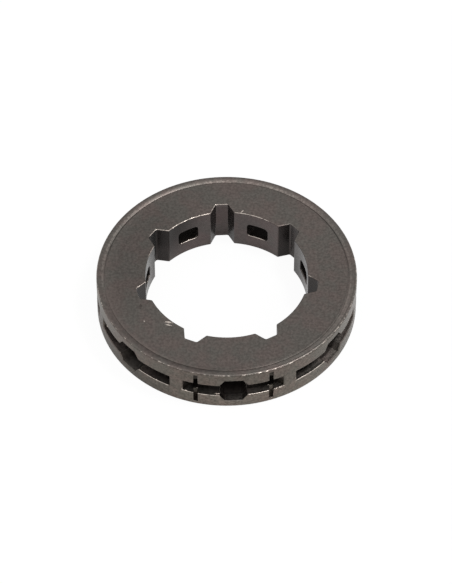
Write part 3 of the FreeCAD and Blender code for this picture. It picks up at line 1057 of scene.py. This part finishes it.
class SPROCKET_OT_stage(bpy.types.Operator):
    """Adds the floor, the lights and the camera"""

    bl_idname = "sprocket.stage"
    bl_label = "Stage"

    def execute(self, context):
        look = context.scene.stage_look
        mesh = bpy.data.meshes.new("floor")
        reach = 3.0
        below = -0.02 * MM
        corners = [(-reach, -reach), (reach, -reach), (reach, reach), (-reach, reach)]
        mesh.from_pydata([(x, y, below) for x, y in corners], [], [(0, 1, 2, 3)])
        floor = add_object("floor", mesh)
        mesh.materials.append(floor_material(look))
        self.add_world(context.scene)
        self.add_lights()
        self.add_camera(context.scene, look)
        return {"FINISHED"}

    def add_world(self, scene):
        """A white room, brighter overhead, at the sides and in front, darker low at the back."""
        world = bpy.data.worlds.new("white_room")
        world.use_nodes = True
        world.node_tree.nodes.clear()
        tree = Tree(world.node_tree)
        plain = seen_rays(tree, "Is Camera Ray", "Is Transmission Ray")
        x, y, z = tree.axes(tree.node("ShaderNodeTexCoord", output=0))
        beside = mapped(tree, x.sum("ABSOLUTE").sum("MAXIMUM", -y), 0.25, 0.60, 1.0, 1.4)
        behind = mapped(tree, y, 0.65, 0.92, 1.0, 0.7)
        above = mapped(tree, z, 0.84, 0.94, 1.0, 2.0)
        room = tree.node(
            "ShaderNodeBackground", {"Color": (1, 1, 1, 1), "Strength": beside * behind * above * 0.80}
        )
        white = tree.node("ShaderNodeBackground", {"Color": (1, 1, 1, 1), "Strength": 1.0})
        surface = tree.node("ShaderNodeMixShader", {0: plain, 1: room, 2: white})
        tree.node("ShaderNodeOutputWorld", {"Surface": surface})
        tree.arrange()
        scene.world = world

    def add_lights(self):
        for name, place, size, power in (
            ("key_light", (0.33, -0.06, 0.73), 0.15, 2.5),
            ("front_light", (0.30, -0.58, 0.45), 0.25, 1.0),
        ):
            data = bpy.data.lights.new(name, "AREA")
            data.shape = "SQUARE"
            data.size = size
            data.energy = power
            light = bpy.data.objects.new(name, data)
            bpy.context.scene.collection.objects.link(light)
            light.location = place
            light.rotation_euler = (-Vector(place)).to_track_quat("-Z", "Y").to_euler()

    def add_camera(self, scene, look):
        back = Vector((
            math.sin(look.azimuth) * math.cos(look.elevation),
            -math.cos(look.azimuth) * math.cos(look.elevation),
            math.sin(look.elevation),
        ))
        data = bpy.data.cameras.new("camera")
        data.lens = look.lens
        data.sensor_width = 36.0
        data.clip_start = 0.01
        data.clip_end = 20.0
        camera = bpy.data.objects.new("camera", data)
        scene.collection.objects.link(camera)
        turn = back.to_track_quat("Z", "Y")
        right = turn @ Vector((1, 0, 0))
        up = turn @ Vector((0, 1, 0))
        aim = right * look.aside + up * look.above
        camera.matrix_world = Matrix.Translation(aim + back * look.distance) @ turn.to_matrix().to_4x4()
        scene.camera = camera


class SPROCKET_PT_panel(bpy.types.Panel):
    """The sizes, the finish and the steps"""

    bl_idname = "SPROCKET_PT_panel"
    bl_label = "Rim sprocket"
    bl_space_type = "VIEW_3D"
    bl_region_type = "UI"
    bl_category = "Rim sprocket"

    def draw(self, context):
        layout = self.layout
        for settings in (context.scene.ring_sizes, context.scene.steel_look, context.scene.stage_look):
            box = layout.box()
            for key in settings.bl_rna.properties.keys():
                if key not in ("rna_type", "name"):
                    box.prop(settings, key)
        for step in STEPS:
            layout.operator(step.bl_idname)


STEPS = (SPROCKET_OT_ring, SPROCKET_OT_burrs, SPROCKET_OT_stage)
GROUPS = {"ring_sizes": RingSizes, "steel_look": SteelLook, "stage_look": StageLook}
CLASSES = (*GROUPS.values(), *STEPS, SPROCKET_PT_panel)


def register():
    for each in CLASSES:
        bpy.utils.register_class(each)
    for name, group in GROUPS.items():
        setattr(bpy.types.Scene, name, bpy.props.PointerProperty(type=group))


def unregister():
    for name in GROUPS:
        delattr(bpy.types.Scene, name)
    for each in reversed(CLASSES):
        bpy.utils.unregister_class(each)


def main():
    register()
    scene = bpy.context.scene
    scene.view_settings.view_transform = "Standard"
    bpy.ops.sprocket.ring()
    bpy.ops.sprocket.burrs()
    bpy.ops.sprocket.stage()


if __name__ == "__main__":
    main()
